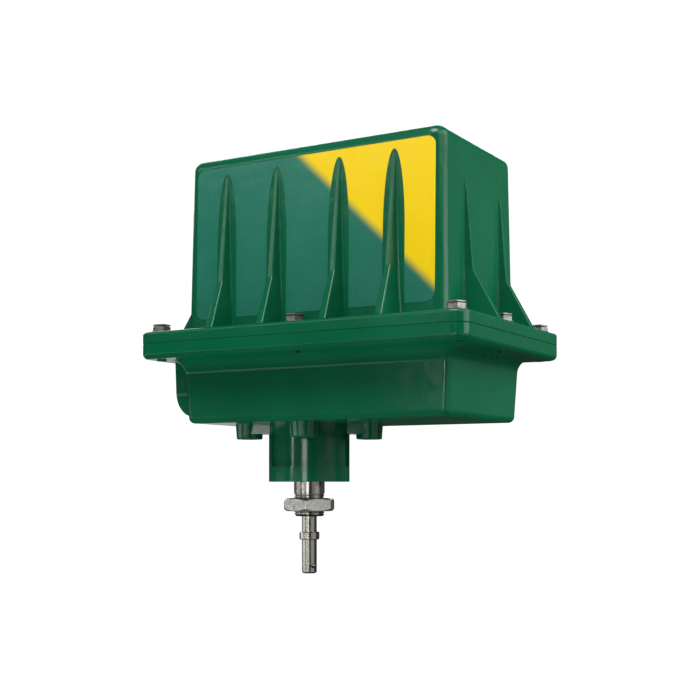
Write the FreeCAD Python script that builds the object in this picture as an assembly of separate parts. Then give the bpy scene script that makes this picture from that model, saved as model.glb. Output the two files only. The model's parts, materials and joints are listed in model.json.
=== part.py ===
import FreeCAD, Part
import math
import os

# Electric valve actuator with a sliding stem.
# Millimetres. The origin is on the stem axis, in the face of the hub that sits on the valve yoke.
# +Z runs up through the housing, +X to the right along its long side, +Y to the back.

# Housing, seen from above
flange_length = 295.0
flange_width = 190.6
flange_corner = 12.0
housing_shift = 40.4            # how far the housing's centre lies to the right of the stem

# Lower housing
lower_depth = 52.1              # from its floor down at the hub up to the flange
lower_flange = 12.4
lower_inset_x = 27.8            # from the flange's edge to the body, at the floor
lower_inset_y = 30.3
lower_draft = 3.0               # degrees
lower_corner = 5.5
lower_wall = 6.0
lower_foot_round = 5.0
lower_neck_round = 12.0
flange_foot_round = 4.2

# Top cover
cover_flange = 9.6
cover_rise = 141.4
cover_inset_left = 31.3         # from the flange's edge to the wall, at the flange
cover_inset_right = 27.5
cover_inset_front = 24.5
cover_inset_back = 32.0
cover_draft = 1.0               # degrees
cover_corner = 10.0
cover_wall = 5.0
cover_top_round = 8.2
cover_foot_round = 3.5
flange_top_round = 2.4
seam_chamfer = 0.5

# Ribs on the cover's walls
front_rib_inner = 28.4          # from the housing's centre
front_rib_outer = 76.35
front_rib_shift = 1.2           # to the right
side_rib_place = 32.0
left_rib_shift = -6.6           # towards the back
right_rib_shift = 1.0
rib_tip_drop = 18.5             # from the cover's top down to the front ribs' tips
side_rib_tip_drop = 37.0
rib_knee_height = 38.0          # above the flange
front_rib_knee_reach = 9.6      # out from the wall
side_rib_knee_reach = 6.3
rib_tip_width = 2.6
rib_knee_width = 5.2
rib_foot_width = 6.4
rib_flank_draft = 0.13          # widening per side and millimetre towards the wall
rib_root_round = 2.6
rib_edge_round = 0.9

# Flange screws
cover_bolt_size = 8.0
cover_bolt_hexagon = 13.0
cover_bolt_head = 5.3
cover_washer_diameter = 16.0
cover_washer_thickness = 1.6
washer_gap = 0.6                # round a washer, to the cover's foot
bolt_edge_x = 13.6              # corner screws, in from the flange's edges
bolt_edge_y = 15.3
bolt_mid_edge = 11.5            # the middle screw of each short side
bolt_mid_shift = 3.5            # the middle screws of the long sides, to the left of the centre
bolt_hole_gap = 0.5
bolt_tip_show = 1.0
bolt_tip_gap = 0.5              # tapped hole below the screw's tip
bolt_first_turn = 17.0          # degrees, the first head
bolt_turn_step = 23.0           # degrees, from one head to the next

# Cover seal
seal_edge = 20.8                # outside of the seal, in from the flange's edge
seal_width = 3.6
seal_depth = 3.0

# Conduit boss on the left side
boss_half_width = 45.0
boss_foot = 8.5                 # above the housing's floor outside
boss_corner = 20.0
boss_edge_round = 2.0
entry_spacing = 50.0
entry_height = 29.6             # above the housing's floor outside
entry_diameter = 24.6
entry_depth = 20.0
entry_passage = 18.0
plug_length = 14.0
plug_square = 11.0
plug_square_depth = 8.0
earth_screw_size = 5.0
earth_screw_height = 42.8       # above the housing's floor outside
earth_screw_length = 12.0
earth_washer_thickness = 1.0
earth_head_height = 3.0
earth_head_round = 0.8
earth_slot_width = 1.0
earth_slot_depth = 1.6

# Hub
hub_diameter = 68.0
hub_height = 48.4
hub_band = 12.7                 # plain band above the seat
hub_recess_depth = 2.0          # of the turned recess between the ribs
hub_rib_width = 20.0
hub_chamfer = 0.4
hub_bore = 44.0
hub_floor = 8.0
hub_turn = 36.5                 # degrees, first rib, counted from the front to the right
ear_turn = 28.0                 # degrees, first ear
ear_place = 50.5
ear_radius = 10.8
ear_thickness = 12.7
ear_draft = 0.9
ear_edge_round = 1.2
web_thickness = 8.4             # of the arms between the ears and the hub
hub_bolt_size = 8.0
hub_bolt_head_diameter = 13.0
hub_bolt_head = 8.0
hub_bolt_socket = 6.0           # across its flats
hub_bolt_socket_depth = 4.0
hub_bolt_recess = 8.6           # depth of the counterbore in the ear
hub_bolt_recess_gap = 0.5
hub_bolt_chamfer = 0.8
hub_bolt_grip = 15.0            # length in the housing's floor and boss
hub_boss_radius = 10.0
hub_seal_radius = 28.0
hub_seal_section = 2.8

# Threaded bush, lock nut and stem
bush_diameter = 26.0            # plain register for the yoke
bush_register = 9.9             # its length
bush_thread = 25.4
bush_length = 28.9
bush_chamfer = 1.5
bush_spigot = 30.0              # in the hub's floor
bush_collar = 40.0
bush_collar_height = 6.0
guide_outside = 17.0
guide_length = 34.0
wiper_outside = 19.0
wiper_height = 5.0
running_gap = 0.05              # radial, between turning or sliding parts
nut_hexagon = 40.0
nut_height = 10.9
nut_drop = 13.7                 # from the seat down to the lock nut
nut_turn = 54.0                 # degrees
nut_chamfer = 1.4
nut_bore_chamfer = 0.8
stem_diameter = 12.7
stem_reach = 77.0               # below the seat
stem_chamfer = 1.2
stem_socket = 10.0              # length screwed into the nut carrier
collar_diameter = 17.1
collar_height = 6.5
collar_drop = 42.0
collar_chamfer = 0.6
pin_hole = 4.2
pin_hole_rise = 6.5             # above the stem's end
pin_hole_turn = -27.5           # degrees

# Drive
travel_up = 12.5
travel_down = 6.5
stop_gap = 1.5
carrier_stop_gap = 3.5
carrier_radius = 17.0
carrier_floor = 12.0
carrier_flange = 7.0
screw_diameter = 16.0
journal_diameter = 15.0
nut_flange_radius = 20.5
nut_flange_height = 7.0
ball_nut_radius = 14.0
ball_nut_length = 32.0
arm_height = 8.0
arm_gap = 3.3                   # above the floor at the lowest stroke
guide_rod_place = 34.0
guide_rod_diameter = 8.0
bearing_outside = 32.0
bearing_width = 9.0
cartridge_radius = 21.0
cartridge_lip = 1.0
cartridge_lip_width = 3.0
cartridge_drop = 6.0
cartridge_flange_radius = 29.0
cap_height = 3.0
axial_gap = 0.3
gear_module = 1.5
screw_gear_teeth = 48
idler_pinion_teeth = 16
idler_gear_teeth = 40
motor_pinion_teeth = 14
sensor_gear_teeth = 16
sensor_turn = 135.0             # degrees, from the screw's axis
gear_width = 8.0
second_width = 6.0
pinion_overhang = 0.5
gear_hub_rise = 3.5
gear_hub_radius = 12.0
end_nut_hexagon = 22.0
end_nut_height = 6.0
idler_shaft_diameter = 8.0
idler_hub_radius = 8.0
idler_top_hub = 5.5
tooth_play = 0.12
pressure_angle = 20.0           # degrees

# Plates, motor and sensor
plate_thickness = 8.0
plate_left_gap = 13.3           # from the gear plate to the housing's inner walls
plate_right_gap = 16.1
plate_side_gap = 5.0
plate_corner = 9.0
post_radius = 8.0
post_edge = 8.0                 # post centres in from the plate's edges
post_screw = 6.0
post_screw_depth = 12.0
post_screw_head = 10.0
post_screw_head_height = 4.0
motor_plate_thickness = 6.0
motor_plate_left = 28.0
motor_plate_right = 117.5
motor_plate_half_width = 46.0
pillar_radius = 5.0
pillar_edge = 8.0
motor_size = 56.4
motor_length = 56.0
motor_cap = 10.0
motor_waist = 0.6
motor_corner = 5.0
motor_pilot = 38.1
motor_pilot_height = 1.6
motor_shaft_diameter = 8.0
motor_shaft_inside = 34.0
sensor_radius = 12.0
sensor_length = 20.0
sensor_neck_radius = 5.0
sensor_shaft_diameter = 6.0

# Electronics
bracket_thickness = 2.0
bracket_bend = 1.6
bracket_height = 118.0
bracket_foot = 14.0
board_corner = 3.0
board_stand_off = 6.4
board_thickness = 1.6
board_half_width = 50.0
board_rise = 10.0               # above the gear plate
board_height = 104.0
board_hole_edge = 5.0
spacer_radius = 3.0
supply_length = 58.0
supply_half_width = 36.0
supply_height = 36.0
supply_left = 60.0
supply_round = 3.0
terminal_gap = 1.3              # from the housing's inner wall
terminal_width = 14.0
terminal_height = 22.0
terminal_ways = 6
terminal_pitch = 10.0
terminal_screw_radius = 2.6
terminal_screw_depth = 5.0
terminal_mouth = 6.0
terminal_mouth_rise = 4.0
capacitor_radius = 6.5
capacitor_length = 9.0
capacitor_pitch = 17.0
capacitor_rise = 18.0           # above the board's lower edge
relay_width = 15.0
relay_height = 24.0
relay_depth = 9.0
relay_pitch = 20.0
relay_rise = 34.0
component_edge = 10.0           # in from the board's front edge
sink_base = 2.5
sink_width = 36.0
sink_height = 46.0
sink_depth = 9.0
sink_rise = 40.0
sink_edge = 8.0                 # from the board's middle
fin_count = 7
fin_width = 1.6
connector_count = 4
connector_width = 16.0
connector_height = 9.0
connector_depth = 8.0
connector_wall = 1.5
connector_pitch = 21.0
connector_drop = 14.0           # below the board's upper edge

# Decal film on the front wall
decal_thickness = 0.25
decal_top_drop = 9.0            # below the cover's top
decal_left = 10.0               # in from the cover's side walls
decal_right = 6.8
decal_foot_rise = 10.0          # above the flange
decal_corner = 7.0
decal_slot_half = 9.3           # half the width of the film's cut-outs round the ribs
decal_arch_height = 62.0
decal_tip_gap = 3.8             # above a rib's tip

# Heights that follow from the sizes above
flange_under = hub_height + lower_depth
seam = flange_under + lower_flange
flange_top = seam + cover_flange
cover_top = flange_top + cover_rise
floor_top = hub_height + lower_wall
rod_foot = floor_top - lower_wall / 2
bush_top = hub_floor + bush_collar_height
carrier_foot = bush_top + travel_down + carrier_stop_gap
arm_foot = floor_top + travel_down + arm_gap
nut_seat = arm_foot - nut_flange_height
carrier_bore_foot = carrier_foot + carrier_floor
screw_foot = carrier_bore_foot + travel_up + stop_gap
ball_nut_top = nut_seat + ball_nut_length
cartridge_foot = ball_nut_top + travel_up + stop_gap
plate_foot = cartridge_foot + cartridge_drop
plate_top = plate_foot + plate_thickness
bearing_foot = cartridge_foot + cartridge_lip
bearing_top = bearing_foot + 2 * bearing_width
cap_top = bearing_top + cap_height
gear_hub_foot = cap_top + axial_gap
gear_foot = gear_hub_foot + gear_hub_rise
gear_top = gear_foot + gear_width
screw_top = gear_top + end_nut_height + 1.0
second_foot = screw_top + stop_gap
second_top = second_foot + second_width
motor_plate_foot = second_top + idler_top_hub + axial_gap
motor_plate_top = motor_plate_foot + motor_plate_thickness
motor_top = motor_plate_top + motor_length

# Places that follow from the sizes above
flange_left = housing_shift - flange_length / 2
flange_right = housing_shift + flange_length / 2
idler_place = gear_module * (screw_gear_teeth + idler_pinion_teeth) / 2
motor_place = idler_place + gear_module * (idler_gear_teeth + motor_pinion_teeth) / 2
sensor_distance = gear_module * (screw_gear_teeth + sensor_gear_teeth) / 2
sensor_x = sensor_distance * math.cos(math.radians(sensor_turn))
sensor_y = sensor_distance * math.sin(math.radians(sensor_turn))
wall_lean = math.tan(math.radians(cover_draft))
lower_lean = math.tan(math.radians(lower_draft))
inner_left = flange_left + lower_inset_x + lower_wall
inner_right = flange_right - lower_inset_x - lower_wall
plate_left = inner_left + plate_left_gap
plate_right = inner_right - plate_right_gap
plate_half_width = flange_width / 2 - lower_inset_y - lower_wall - plate_side_gap
terminal_left = inner_left + terminal_gap

# Insets from the flange's outline: left, right, front and back
no_insets = (0, 0, 0, 0)
lower_insets = (lower_inset_x, lower_inset_x, lower_inset_y, lower_inset_y)
cover_insets = (cover_inset_left, cover_inset_right, cover_inset_front, cover_inset_back)

os.makedirs("parts", exist_ok=True)
up = FreeCAD.Vector(0, 0, 1)


def vec(x, y, z):
    return FreeCAD.Vector(x, y, z)


def save(name, shapes):
    """Write one solid, or a group of separate solids, as a named part."""
    shape = Part.makeCompound(shapes) if isinstance(shapes, list) else shapes
    shape.exportStep("parts/" + name + ".step")


def cylinder(radius, bottom, top, x=0.0, y=0.0):
    return Part.makeCylinder(radius, top - bottom, vec(x, y, bottom), up)


def ring(inner, outer, bottom, top, x=0.0, y=0.0):
    return cylinder(outer, bottom, top, x, y).cut(cylinder(inner, bottom, top, x, y))


def turned(points):
    """Solid of revolution about the stem axis, from radius and height pairs."""
    corners = [vec(radius, 0, height) for radius, height in points]
    return Part.Face(Part.makePolygon(corners + corners[:1])).revolve(vec(0, 0, 0), up, 360)


def hexagon(across_flats, bottom, top, x=0.0, y=0.0, turn=0.0):
    radius = across_flats / math.sqrt(3)
    angles = [math.radians(turn + 60 * step) for step in range(7)]
    corners = [vec(x + radius * math.cos(a), y + radius * math.sin(a), bottom) for a in angles]
    return Part.Face(Part.makePolygon(corners)).extrude(vec(0, 0, top - bottom))


def bolt_head(across_flats, bottom, top, x, y, turn):
    """Hexagon whose corners are rounded off at the top."""
    radius = across_flats / math.sqrt(3)
    slope = (radius - across_flats / 2) * 0.6
    crown = Part.makeCone(radius, across_flats / 2, slope, vec(x, y, top - slope), up)
    barrel = cylinder(radius + 1, bottom, top - slope, x, y)
    return hexagon(across_flats, bottom, top, x, y, turn).common(crown.fuse(barrel))


def rounded_outline(left, right, front, back, radius, height):
    """Closed wire of a rectangle with round corners, lying at one height."""
    wire = []
    corners = [(right - radius, back - radius), (left + radius, back - radius),
               (left + radius, front + radius), (right - radius, front + radius)]
    arcs = []
    for quarter, (x, y) in enumerate(corners):
        ends = [math.pi / 4 * (2 * quarter + step) for step in range(3)]
        points = [vec(x + radius * math.cos(a), y + radius * math.sin(a), height) for a in ends]
        arcs.append(points)
    for index, points in enumerate(arcs):
        wire.append(Part.Arc(*points).toShape())
        wire.append(Part.LineSegment(points[2], arcs[(index + 1) % 4][0]).toShape())
    return Part.Wire(wire)


def tapered_box(insets, radius, bottom, top, lean):
    """Round-cornered box inside the flange's outline. Its walls lean in by lean per unit of height."""
    shapes = []
    for height in (bottom, top):
        step = lean * (height - bottom)
        left, right, front, back = [inset + step for inset in insets]
        shapes.append(rounded_outline(flange_left + left, flange_right - right, front - flange_width / 2,
                                      flange_width / 2 - back, radius, height))
    return Part.makeLoft(shapes, True, True)


def thicker(insets, wall):
    return [inset + wall for inset in insets]


def flange_plate(bottom, top):
    return tapered_box(no_insets, flange_corner, bottom, top, 0)


def edges_at(shape, height, test=lambda edge: True):
    """Edges that lie at one height."""
    found = []
    for edge in shape.Edges:
        box = edge.BoundBox
        if abs(box.ZMin - height) < 0.01 and abs(box.ZMax - height) < 0.01 and test(edge):
            found.append(edge)
    return found


def outer_edges(shape, height):
    """Edges at one height that follow the flange's own outline."""
    def on_outline(edge):
        point = edge.valueAt((edge.FirstParameter + edge.LastParameter) / 2)
        across = abs(point.x - housing_shift) > flange_length / 2 - flange_corner
        return across or abs(point.y) > flange_width / 2 - flange_corner
    return edges_at(shape, height, on_outline)


def inner_edges(shape, height):
    """Edges at one height that keep clear of the flange's outline."""
    outline = {edge.hashCode() for edge in outer_edges(shape, height)}
    return [edge for edge in edges_at(shape, height) if edge.hashCode() not in outline]


cover_bolt_places = []
for side in (-1, 1):
    for end in (-1, 1):
        cover_bolt_places.append((housing_shift + end * (flange_length / 2 - bolt_edge_x),
                                  side * (flange_width / 2 - bolt_edge_y)))
    cover_bolt_places.append((housing_shift - bolt_mid_shift, side * (flange_width / 2 - bolt_edge_y)))
    cover_bolt_places.append((housing_shift + side * (flange_length / 2 - bolt_mid_edge), 0.0))

hub_bolt_places = []
for quarter in range(4):
    turn = math.radians(ear_turn + 90 * quarter)
    hub_bolt_places.append((ear_place * math.sin(turn), -ear_place * math.cos(turn)))

post_places = [(x, y) for x in (plate_left + post_edge, plate_right - post_edge)
               for y in (post_edge - plate_half_width, plate_half_width - post_edge)]
pillar_places = [(x, y) for x in (motor_plate_left + pillar_edge, motor_plate_right - pillar_edge)
                 for y in (pillar_edge - motor_plate_half_width, motor_plate_half_width - pillar_edge)]


# Top cover

def rib_section(height, wall, reach, width, root_round, edge_round):
    """Cross-section of a rib at one height, with hollow rounds where it runs into the wall."""
    crest = wall + reach
    half = width / 2
    foot = half + rib_flank_draft * reach
    sink = 0.35 * root_round
    sides = []
    for side in (-1, 1):
        outer = vec(side * (foot + root_round), wall - sink, height)
        middle = vec(side * (foot + 0.32 * root_round), wall + 0.2 * root_round, height)
        inner = vec(side * foot, wall + root_round * 0.9, height)
        shoulder = vec(side * half, crest - edge_round, height)
        turn = vec(side * (half - 0.3 * edge_round), crest - 0.3 * edge_round, height)
        rim = vec(side * (half - edge_round), crest, height)
        sides.append((outer, middle, inner, shoulder, turn, rim))
    left, right = sides
    return Part.Wire([
        Part.Arc(*left[:3]).toShape(),
        Part.LineSegment(left[2], left[3]).toShape(),
        Part.Arc(*left[3:]).toShape(),
        Part.LineSegment(left[5], right[5]).toShape(),
        Part.Arc(right[5], right[4], right[3]).toShape(),
        Part.LineSegment(right[3], right[2]).toShape(),
        Part.Arc(right[2], right[1], right[0]).toShape(),
        Part.LineSegment(right[0], left[0]).toShape(),
    ])


def make_rib(half_span, inset, tip_drop, knee_reach):
    """Rib in a frame where x runs along the wall and y points out from the housing's centre."""
    tip = cover_top - tip_drop
    knee = flange_top + rib_knee_height
    edge = half_span - flange_top_round * 0.2
    low = flange_top - flange_top_round * 1.5

    def wall_at(height):
        return half_span - inset - wall_lean * (height - flange_top)

    tip_round = 0.35 * rib_root_round
    foot_reach = edge - wall_at(flange_top)
    at_tip = rib_section(tip, wall_at(tip), tip_round * 1.5, rib_tip_width, tip_round, rib_edge_round / 2)
    at_knee = rib_section(knee, wall_at(knee), knee_reach, rib_knee_width, rib_root_round, rib_edge_round)
    at_foot = rib_section(flange_top, wall_at(flange_top), foot_reach, rib_foot_width,
                          rib_root_round, rib_edge_round)
    rib = Part.makeLoft([at_tip, at_knee, at_foot], True, True)
    foot = Part.makeBox(rib_foot_width, foot_reach, flange_top - low,
                        vec(-rib_foot_width / 2, wall_at(flange_top), low))
    return rib.fuse(foot)


def rib_row(rib, places, turn, centre):
    """Copies of a rib along one wall, turned to face out from it."""
    row = []
    for place in places:
        copied = rib.copy()
        copied.translate(vec(place, 0, 0))
        copied.rotate(vec(0, 0, 0), up, turn)
        copied.translate(centre)
        row.append(copied)
    return row


def make_cover():
    shell = tapered_box(cover_insets, cover_corner, flange_top - 1, cover_top, wall_lean)
    shell = shell.makeFillet(cover_top_round, edges_at(shell, cover_top))
    body = shell.fuse(flange_plate(seam, flange_top)).removeSplitter()
    body = body.makeFillet(cover_foot_round, inner_edges(body, flange_top))
    body = body.makeFillet(flange_top_round, outer_edges(body, flange_top))
    body = body.makeChamfer(seam_chamfer, outer_edges(body, seam))
    long_places = (-front_rib_outer, -front_rib_inner, front_rib_inner, front_rib_outer)
    short_places = (-side_rib_place, side_rib_place)
    long_centre = vec(housing_shift + front_rib_shift, 0, 0)
    left_centre = vec(housing_shift, left_rib_shift, 0)
    right_centre = vec(housing_shift, right_rib_shift, 0)
    back_rib = make_rib(flange_width / 2, cover_inset_back, rib_tip_drop, front_rib_knee_reach)
    front_rib = make_rib(flange_width / 2, cover_inset_front, rib_tip_drop, front_rib_knee_reach)
    left_rib = make_rib(flange_length / 2, cover_inset_left, side_rib_tip_drop, side_rib_knee_reach)
    right_rib = make_rib(flange_length / 2, cover_inset_right, side_rib_tip_drop, side_rib_knee_reach)
    ribs = (rib_row(back_rib, long_places, 0, long_centre) + rib_row(front_rib, long_places, 180, long_centre)
            + rib_row(left_rib, short_places, 90, left_centre)
            + rib_row(right_rib, short_places, 270, right_centre))
    body = body.multiFuse(ribs)
    cavity = tapered_box(thicker(cover_insets, cover_wall), cover_corner - cover_wall,
                         seam, cover_top - cover_wall, wall_lean)
    body = body.cut(cavity)
    for x, y in cover_bolt_places:
        body = body.cut(cylinder(cover_bolt_size / 2 + bolt_hole_gap, seam, flange_top + 1, x, y))
        body = body.cut(cylinder(cover_washer_diameter / 2 + washer_gap, flange_top, flange_top + 8, x, y))
    return body


# Lower housing

def make_lower_housing():
    """Tray with a flange, a conduit boss, a hub opening and posts for the gear plate."""
    reach = lower_lean * lower_depth
    tray = tapered_box(lower_insets, lower_corner, hub_height, flange_under + 1, -lower_lean)
    body = tray.fuse(flange_plate(flange_under, seam)).removeSplitter()
    body = body.makeFillet(lower_neck_round, inner_edges(body, flange_under))
    body = body.makeFillet(flange_foot_round, outer_edges(body, flange_under))
    body = body.makeFillet(lower_foot_round, edges_at(body, hub_height))
    body = body.makeChamfer(seam_chamfer, outer_edges(body, seam))

    boss_low = hub_height + boss_foot
    boss_in = flange_left + lower_inset_x + lower_wall / 3
    side = boss_half_width
    top_side = side + lower_lean * (flange_under - boss_low - boss_corner)
    slant = boss_corner * (1 - math.sqrt(0.5))
    points = [vec(0, -top_side, flange_under + 1), vec(0, -side, boss_low + boss_corner),
              vec(0, slant - side, boss_low + slant), vec(0, boss_corner - side, boss_low),
              vec(0, side - boss_corner, boss_low), vec(0, side - slant, boss_low + slant),
              vec(0, side, boss_low + boss_corner), vec(0, top_side, flange_under + 1)]
    profile = Part.Wire([
        Part.LineSegment(points[0], points[1]).toShape(),
        Part.Arc(points[1], points[2], points[3]).toShape(),
        Part.LineSegment(points[3], points[4]).toShape(),
        Part.Arc(points[4], points[5], points[6]).toShape(),
        Part.LineSegment(points[6], points[7]).toShape(),
        Part.LineSegment(points[7], points[0]).toShape(),
    ])
    boss = Part.Face(profile).extrude(vec(boss_in - flange_left, 0, 0))
    rim = []
    for edge in boss.Edges:
        box = edge.BoundBox
        if box.XMax < 0.01 and box.ZMin < flange_under:
            rim.append(edge)
    boss = boss.makeFillet(boss_edge_round, rim)
    boss.translate(vec(flange_left, 0, 0))
    body = body.fuse(boss)

    cavity = tapered_box(thicker(lower_insets, lower_wall), lower_corner, floor_top, seam, -lower_lean)
    body = body.cut(cavity)
    posts = [cylinder(post_radius, hub_height + 1, plate_foot, x, y) for x, y in post_places]
    bosses = [cylinder(hub_boss_radius, hub_height + 1, hub_height + hub_bolt_grip + 3, x, y)
              for x, y in hub_bolt_places]
    rod_boss = cylinder(guide_rod_diameter / 2 + 4, hub_height + 1, floor_top + 1, 0, -guide_rod_place)
    body = body.multiFuse(posts + bosses + [rod_boss])

    cuts = [cylinder(hub_bore / 2, hub_height - 1, floor_top + 1)]
    tip = flange_under - bolt_tip_show - bolt_tip_gap
    cuts += [cylinder(cover_bolt_size / 2, tip, seam + 1, x, y) for x, y in cover_bolt_places]
    cuts += [cylinder(hub_bolt_size / 2, hub_height - 1, hub_height + hub_bolt_grip, x, y)
             for x, y in hub_bolt_places]
    cuts += [cylinder(post_screw / 2, plate_foot - post_screw_depth, plate_foot + 1, x, y)
             for x, y in post_places]
    cuts.append(cylinder(guide_rod_diameter / 2, rod_foot, floor_top + 2, 0, -guide_rod_place))
    along = vec(1, 0, 0)
    entry_z = hub_height + entry_height
    for y in (-entry_spacing / 2, entry_spacing / 2):
        cuts.append(Part.makeCylinder(entry_diameter / 2, entry_depth, vec(flange_left, y, entry_z), along))
        passage = reach + lower_inset_x + lower_wall + 2
        cuts.append(Part.makeCylinder(entry_passage / 2, passage, vec(flange_left, y, entry_z), along))
    cuts.append(Part.makeCylinder(earth_screw_size / 2, earth_screw_length,
                                  vec(flange_left, 0, hub_height + earth_screw_height), along))
    cuts.append(seal_ring(seam + 1))
    for cut in cuts:
        body = body.cut(cut)
    return body


def seal_ring(top):
    """Square-section ring in the lower flange, from its groove's floor up to a height."""
    insets = thicker(no_insets, seal_edge)
    outer = tapered_box(insets, flange_corner, seam - seal_depth, top, 0)
    inner = tapered_box(thicker(insets, seal_width), flange_corner - seal_width, seam - seal_depth, top, 0)
    return outer.cut(inner)


def make_cover_bolts():
    bolts = []
    seat = flange_top + cover_washer_thickness
    for index, (x, y) in enumerate(cover_bolt_places):
        turn = bolt_first_turn + bolt_turn_step * index
        head = bolt_head(cover_bolt_hexagon, seat, seat + cover_bolt_head, x, y, turn)
        shank = cylinder(cover_bolt_size / 2, flange_under - bolt_tip_show, seat + 0.5, x, y)
        bolts.append(head.fuse(shank))
    return bolts


def make_cover_washers():
    inner = cover_bolt_size / 2 + 0.2
    outer = cover_washer_diameter / 2
    return [ring(inner, outer, flange_top, flange_top + cover_washer_thickness, x, y)
            for x, y in cover_bolt_places]


def make_pipe_plug():
    along = vec(1, 0, 0)
    start = vec(flange_left, entry_spacing / 2, hub_height + entry_height)
    plug = Part.makeCylinder(entry_diameter / 2, plug_length, start, along)
    plug = plug.makeChamfer(1.0, [edge for edge in plug.Edges if edge.BoundBox.XMax < flange_left + 0.01])
    half = plug_square / 2
    socket = Part.makeBox(plug_square_depth, plug_square, plug_square, start - vec(0, half, half))
    return plug.cut(socket)


def make_earth_screw():
    along = vec(1, 0, 0)
    back = vec(-1, 0, 0)
    start = vec(flange_left, 0, hub_height + earth_screw_height)
    shank = Part.makeCylinder(earth_screw_size / 2, earth_screw_length, start, along)
    washer = Part.makeCylinder(earth_screw_size, earth_washer_thickness, start, back)
    seat = start - vec(earth_washer_thickness, 0, 0)
    face = flange_left - earth_washer_thickness - earth_head_height
    head = Part.makeCylinder(earth_screw_size * 0.9, earth_head_height, seat, back)
    head = head.makeFillet(earth_head_round, [edge for edge in head.Edges if edge.BoundBox.XMax < face + 0.1])
    slot = Part.makeBox(earth_slot_depth, earth_slot_width, 2 * earth_screw_size,
                        vec(face, -earth_slot_width / 2, start.z - earth_screw_size))
    return shank.multiFuse([washer, head]).cut(slot)


# Hub, bush, lock nut and stem

def make_hub():
    """Round hub with a recess between four ribs, and four ears, each bored for a cap screw."""
    barrel = cylinder(hub_diameter / 2, 0, hub_height)
    barrel = barrel.makeChamfer(hub_chamfer, edges_at(barrel, 0))
    ear_foot = hub_height - ear_thickness
    web_foot = hub_height - web_thickness
    waist = ring(hub_diameter / 2 - hub_recess_depth, hub_diameter / 2 + 1, hub_band, web_foot)
    for half in range(2):
        rib = Part.makeBox(2 * hub_diameter, hub_rib_width, hub_height,
                           vec(-hub_diameter, -hub_rib_width / 2, 0))
        rib.rotate(vec(0, 0, 0), up, hub_turn + 90 * half)
        waist = waist.cut(rib)
    barrel = barrel.cut(waist)
    ears = []
    for quarter, (x, y) in enumerate(hub_bolt_places):
        ear = Part.makeCone(ear_radius, ear_radius + ear_draft, ear_thickness, vec(x, y, ear_foot), up)
        ear = ear.makeFillet(ear_edge_round, edges_at(ear, ear_foot))
        web = Part.makeBox(ear_place, 2 * ear_radius, web_thickness, vec(0, -ear_radius, web_foot))
        web.rotate(vec(0, 0, 0), up, ear_turn - 90 + 90 * quarter)
        ears += [ear, web]
    body = barrel.multiFuse(ears).removeSplitter()
    body = body.cut(cylinder(hub_bore / 2, hub_floor, hub_height + 1))
    body = body.cut(cylinder(bush_spigot / 2, -1, hub_floor + 1))
    seal_half = hub_seal_section / 2
    body = body.cut(ring(hub_seal_radius - seal_half, hub_seal_radius + seal_half,
                         hub_height - hub_seal_section, hub_height + 1))
    recess = hub_bolt_head_diameter / 2 + hub_bolt_recess_gap
    for x, y in hub_bolt_places:
        body = body.cut(cylinder(hub_bolt_size / 2 + bolt_hole_gap, 0, hub_height + 1, x, y))
        body = body.cut(cylinder(recess, 0, ear_foot + hub_bolt_recess, x, y))
    return body


def make_hub_bolts():
    """Cap screws from below, with a hexagon socket in each head."""
    bolts = []
    seat = hub_height - ear_thickness + hub_bolt_recess
    face = seat - hub_bolt_head
    for index, (x, y) in enumerate(hub_bolt_places):
        turn = bolt_first_turn + bolt_turn_step * index
        head = cylinder(hub_bolt_head_diameter / 2, face, seat, x, y)
        head = head.makeChamfer(hub_bolt_chamfer, edges_at(head, face))
        head = head.cut(hexagon(hub_bolt_socket, face - 1, face + hub_bolt_socket_depth, x, y, turn))
        shank = cylinder(hub_bolt_size / 2, seat - 1, hub_height + hub_bolt_grip - 1, x, y)
        bolts.append(head.fuse(shank))
    return bolts


def make_bush():
    register = bush_diameter / 2
    thread = bush_thread / 2
    spigot = bush_spigot / 2
    bore = guide_outside / 2
    body = turned([(0, -bush_length), (thread - bush_chamfer, -bush_length),
                   (thread, bush_chamfer - bush_length), (thread, -bush_register), (register, -bush_register),
                   (register, 0), (spigot, 0), (spigot, hub_floor), (bush_collar / 2, hub_floor),
                   (bush_collar / 2, bush_top), (0, bush_top)])
    body = body.cut(cylinder(bore, -bush_length - 1, bush_top + 1))
    return body.cut(cylinder(wiper_outside / 2, -bush_length - 1, wiper_height - bush_length))


def make_lock_nut():
    low = -nut_drop - nut_height
    high = -nut_drop
    corner = nut_hexagon / math.sqrt(3)
    rim = corner - nut_chamfer * 1.6
    envelope = turned([(0, low), (rim, low), (corner, low + nut_chamfer), (corner, high - nut_chamfer),
                       (rim, high), (0, high)])
    body = hexagon(nut_hexagon, low, high, turn=nut_turn).common(envelope)
    bore = bush_thread / 2 + running_gap
    body = body.cut(cylinder(bore, low - 1, high + 1))
    for height in (low, high):
        edges = [edge for edge in edges_at(body, height) if abs(edge.BoundBox.XLength - 2 * bore) < 0.05]
        body = body.makeChamfer(nut_bore_chamfer, edges)
    return body


def make_stem():
    radius = stem_diameter / 2
    collar = collar_diameter / 2
    collar_low = -collar_drop - collar_height
    top = carrier_foot + stem_socket
    edge = collar_chamfer
    body = turned([(0, -stem_reach), (radius - stem_chamfer, -stem_reach),
                   (radius, stem_chamfer - stem_reach), (radius, collar_low), (collar - edge, collar_low),
                   (collar, collar_low + edge), (collar, -collar_drop - edge), (collar - edge, -collar_drop),
                   (radius, -collar_drop), (radius, top), (0, top)])
    turn = math.radians(pin_hole_turn)
    along = vec(math.cos(turn), math.sin(turn), 0)
    start = vec(0, 0, pin_hole_rise - stem_reach) - along * stem_diameter
    return body.cut(Part.makeCylinder(pin_hole / 2, 2 * stem_diameter, start, along))


# Drive train

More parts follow.
